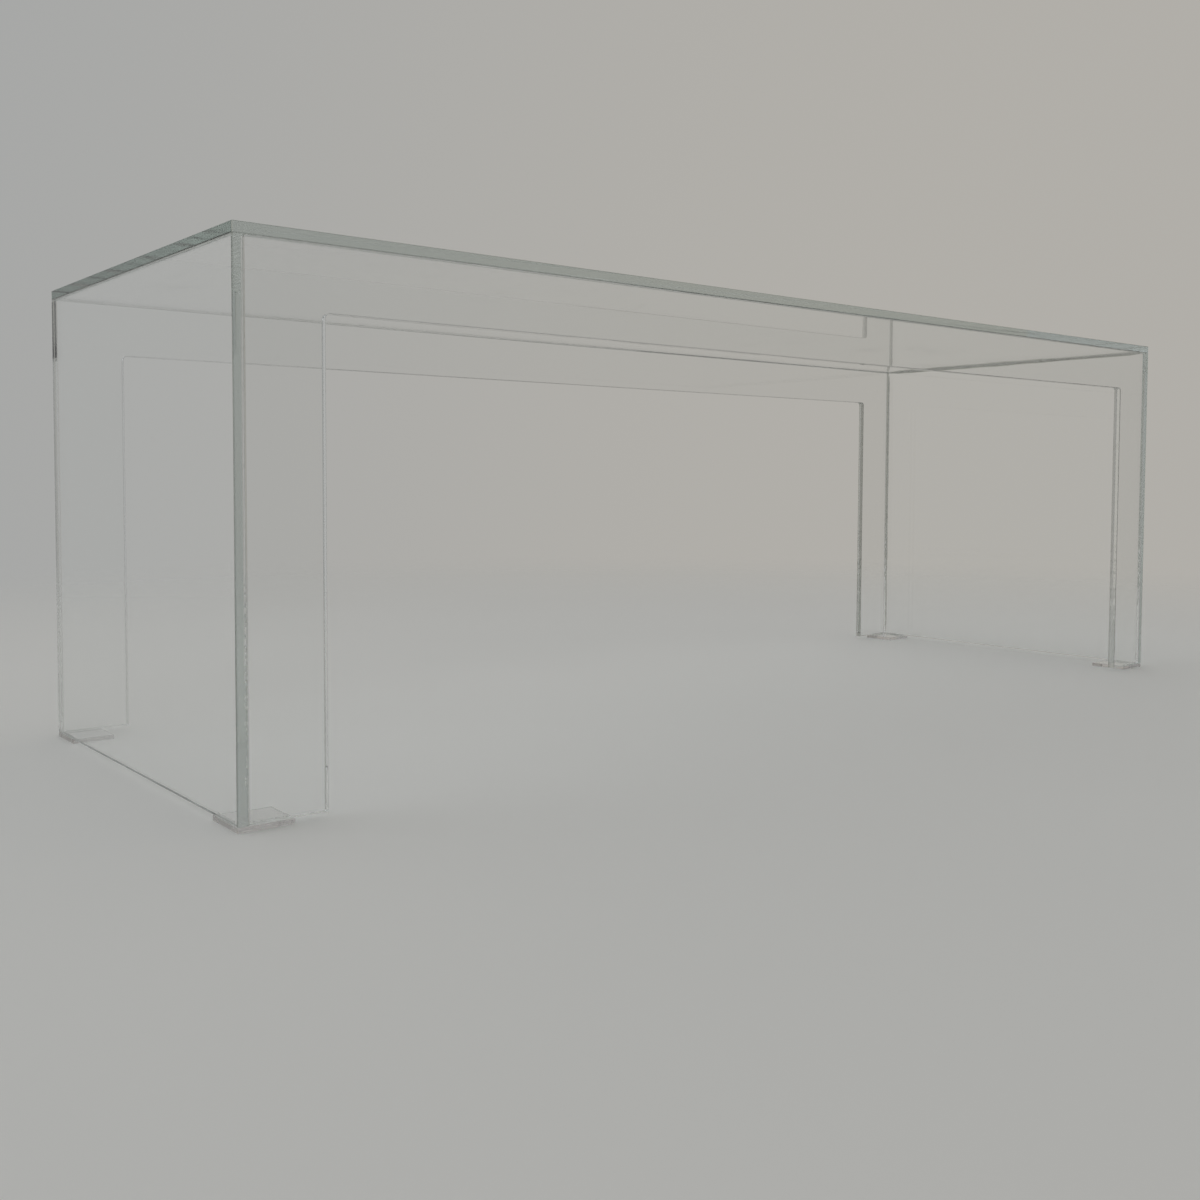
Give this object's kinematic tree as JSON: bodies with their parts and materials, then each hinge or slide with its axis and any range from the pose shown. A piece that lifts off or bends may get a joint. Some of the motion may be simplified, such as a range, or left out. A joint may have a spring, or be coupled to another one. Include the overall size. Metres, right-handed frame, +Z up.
{
  "type": "sneeze guard",
  "caption": "Free-standing clear acrylic sneeze guard: a full top sheet on two end panels, with arched front and rear panels open at the counter and clear corner pads.",
  "frame": {"origin": "on the counter, under the middle of the guard", "axes": "+X along the counter to the customer's right, +Y away from the customer towards the server, +Z up"},
  "size_m": [0.9144, 0.2986, 0.3048],
  "materials": {
    "acrylic_sheet": "clear cast acrylic sheet with polished edges, faint scratches and finger marks",
    "foot_pad": "clear acrylic offcut with sawn edges",
    "cured_cement": "clear cured acrylic cement with small bubbles"
  },
  "bodies": {
    "root": {"top_panel": "acrylic_sheet", "left_end_panel": "acrylic_sheet", "right_end_panel": "acrylic_sheet", "front_panel": "acrylic_sheet", "rear_panel": "acrylic_sheet", "top_front_cement": "cured_cement", "top_rear_cement": "cured_cement", "top_left_cement": "cured_cement", "top_right_cement": "cured_cement", "front_left_corner_cement": "cured_cement", "front_left_foot_pad": "foot_pad", "front_left_pad_cement": "cured_cement", "front_right_corner_cement": "cured_cement", "front_right_foot_pad": "foot_pad", "front_right_pad_cement": "cured_cement", "rear_left_corner_cement": "cured_cement", "rear_left_foot_pad": "foot_pad", "rear_left_pad_cement": "cured_cement", "rear_right_corner_cement": "cured_cement", "rear_right_foot_pad": "foot_pad", "rear_right_pad_cement": "cured_cement"}
  },
  "joints": []
}
